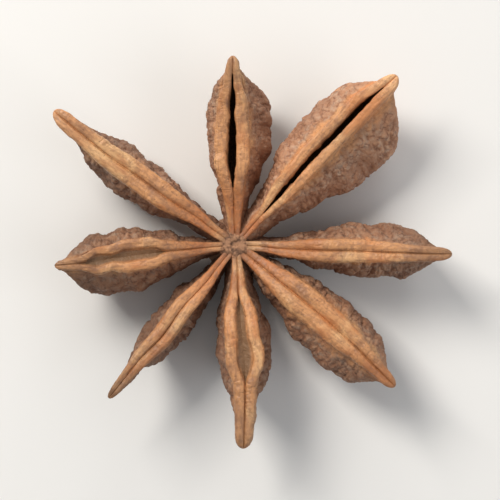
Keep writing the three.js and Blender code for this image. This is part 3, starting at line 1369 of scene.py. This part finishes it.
@dataclass(frozen=True)
class Studio:
    """The floor, the lights and a camera that looks straight down on the seams.

    Attributes:
        floor_size: Side of the floor.
        clearance: How far under the pod it lies, so that no two faces share a plane.
        distance: Height of the camera over the ground.
        film: Width of its film, in millimetres.
        clip: Nearest and farthest distance that it sees.
        view: Width of what it sees at the pod.
        centre: Middle of the view on the ground.
        sky: Strength of the light from all round.
        sky_colour: Colour of that light.
        lamps: The lights.
    """

    floor_size: float = 1.2
    clearance: float = 0.02 * MM
    distance: float = 0.45
    film: float = 36.0
    clip: Range = (0.01, 10.0)
    view: float = 42.0 * MM
    centre: Range = (1.2 * MM, -0.4 * MM)
    sky: float = 0.30
    sky_colour: Colour = (0.95, 0.97, 1.0)
    lamps: tuple[Lamp, ...] = (
        Lamp("key", (-0.16, 0.17, 0.26), 0.14, 1.05, (1.0, 0.96, 0.90)),
        Lamp("fill", (0.26, -0.10, 0.22), 0.26, 0.34, (0.93, 0.96, 1.0)),
        Lamp("back", (0.02, 0.30, 0.12), 0.20, 0.34, (1.0, 0.97, 0.93)),
    )

    def lay_floor(self) -> None:
        """Makes the floor, a stage that isn't part of the pod."""
        half, low = self.floor_size / 2.0, -self.clearance
        corners = [(-half, -half, low), (half, -half, low), (half, half, low), (-half, half, low)]
        mesh = bpy.data.meshes.new("floor")
        mesh.from_pydata(corners, [], [(0, 1, 2, 3)])
        mesh.materials.append(FloorFinish().build())
        floor = in_scene("floor", mesh)

    def light(self) -> None:
        """Hangs the lamps and makes the sky."""
        for lamp in self.lamps:
            lamp.build()
        world = bpy.data.worlds.new("sky")
        world.use_nodes = True
        background = world.node_tree.nodes["Background"]
        background.inputs["Color"].default_value = (*self.sky_colour, 1.0)
        background.inputs["Strength"].default_value = self.sky
        bpy.context.scene.world = world

    def set_camera(self) -> None:
        """Makes the camera, with the focal length that fits the view: film * distance / view."""
        data = bpy.data.cameras.new("camera")
        data.sensor_width = self.film
        data.lens = self.film * self.distance / self.view
        data.clip_start, data.clip_end = self.clip
        camera = in_scene("camera", data)
        camera.location = (*self.centre, self.distance)
        bpy.context.scene.camera = camera
        bpy.context.scene.view_settings.view_transform = "Standard"

    def build(self) -> None:
        """Sets up the floor, the lights, the sky and the camera."""
        self.lay_floor()
        self.light()
        self.set_camera()


# ---- The pod ----


@dataclass(frozen=True)
class StarAnisePod:
    """The whole pod: its carpels, counter-clockwise from the one on the right, and its column."""

    # In order: name, heading, reach, girth, depth, belly, beak, blunt, sway, bow,
    #           rise, lip, point, tone (whole, palest, tip, flank), gape, slit, hollow.
    carpels: tuple[Carpel, ...] = (
        Carpel("carpel_1", -2.7, 17.9 * MM, 4.2 * MM, 8.4 * MM, 0.60, 0.02, 2.5, 0.2 * MM, 0.0,
               0.2 * MM, 0.95 * MM, 1.2 * MM, Tone(0.0, 0.60, -0.7, 0.0)),
        Carpel("carpel_2", 49.3, 19.3 * MM, 7.3 * MM, 8.2 * MM, 0.62, 0.01, 2.0, -1.7 * MM, -0.9 * MM,
               0.6 * MM, 0.8 * MM, 1.5 * MM, Tone(0.3, 0.35, 1.0, 1.2), 0.5 * MM, (0.12, 0.95), 1),
        Carpel("carpel_3", 93.0, 15.6 * MM, 5.1 * MM, 7.6 * MM, 0.58, 0.02, 1.9, -1.1 * MM, -0.5 * MM,
               1.2 * MM, 1.15 * MM, 1.1 * MM, Tone(0.0, 0.45, -0.2, 0.8), 0.55 * MM, (0.24, 0.93), 1),
        Carpel("carpel_4", 145.9, 18.6 * MM, 3.6 * MM, 8.4 * MM, 0.50, 0.10, 1.8, 0.2 * MM, -0.75 * MM,
               0.9 * MM, 1.1 * MM, 1.4 * MM, Tone(0.0, 0.35, 0.5, -0.3)),
        Carpel("carpel_5", 185.0, 15.0 * MM, 5.1 * MM, 7.8 * MM, 0.60, 0.01, 2.2, 0.9 * MM, 0.4 * MM,
               1.0 * MM, 0.9 * MM, 0.9 * MM, Tone(-0.3, 0.50, -0.4, 0.0), 0.75 * MM, (0.3, 0.9)),
        Carpel("carpel_6", 230.5, 16.4 * MM, 3.3 * MM, 8.4 * MM, 0.46, 0.14, 1.6, 0.0, 0.0,
               0.4 * MM, 0.9 * MM, 0.85 * MM, Tone(-0.2, 0.28, -1.2, -0.3)),
        Carpel("carpel_7", 275.0, 16.8 * MM, 4.1 * MM, 8.3 * MM, 0.48, 0.16, 1.7, 0.0, -0.75 * MM,
               0.0, 1.0 * MM, 1.5 * MM, Tone(0.0, 0.38, -0.6, -0.3), 1.0 * MM, (0.17, 0.7)),
        Carpel("carpel_8", 320.6, 17.6 * MM, 4.9 * MM, 8.4 * MM, 0.58, 0.02, 2.3, -0.6 * MM, -0.6 * MM,
               0.0, 1.35 * MM, 1.2 * MM, Tone(0.1, 0.50, -0.4, 0.5)),
    )
    column: Column = field(default_factory=Column)

    def build(self) -> list[bpy.types.Object]:
        """Makes and dresses every piece.

        Returns:
            The pieces.
        """
        husk = HuskFinish().build()
        pieces = []
        for carpel in self.carpels:
            piece = carpel.build()
            piece.data.materials.append(husk)
            pieces.append(piece)
            LOG.info("%s: %d faces", piece.name, len(piece.data.polygons))
        column = self.column.build()
        column.data.materials.append(ColumnFinish().build())
        LOG.info("%s: %d faces", column.name, len(column.data.polygons))
        return [*pieces, column]


def main() -> None:
    """Builds the pod over its solid and the studio round it."""
    logging.basicConfig(level=logging.INFO, format="%(message)s")
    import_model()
    pieces = StarAnisePod().build()
    for piece in pieces:
        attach(piece, BODY)
    for piece in pieces:
        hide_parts(NODE)
    Studio().build()


if __name__ == "__main__":
    main()
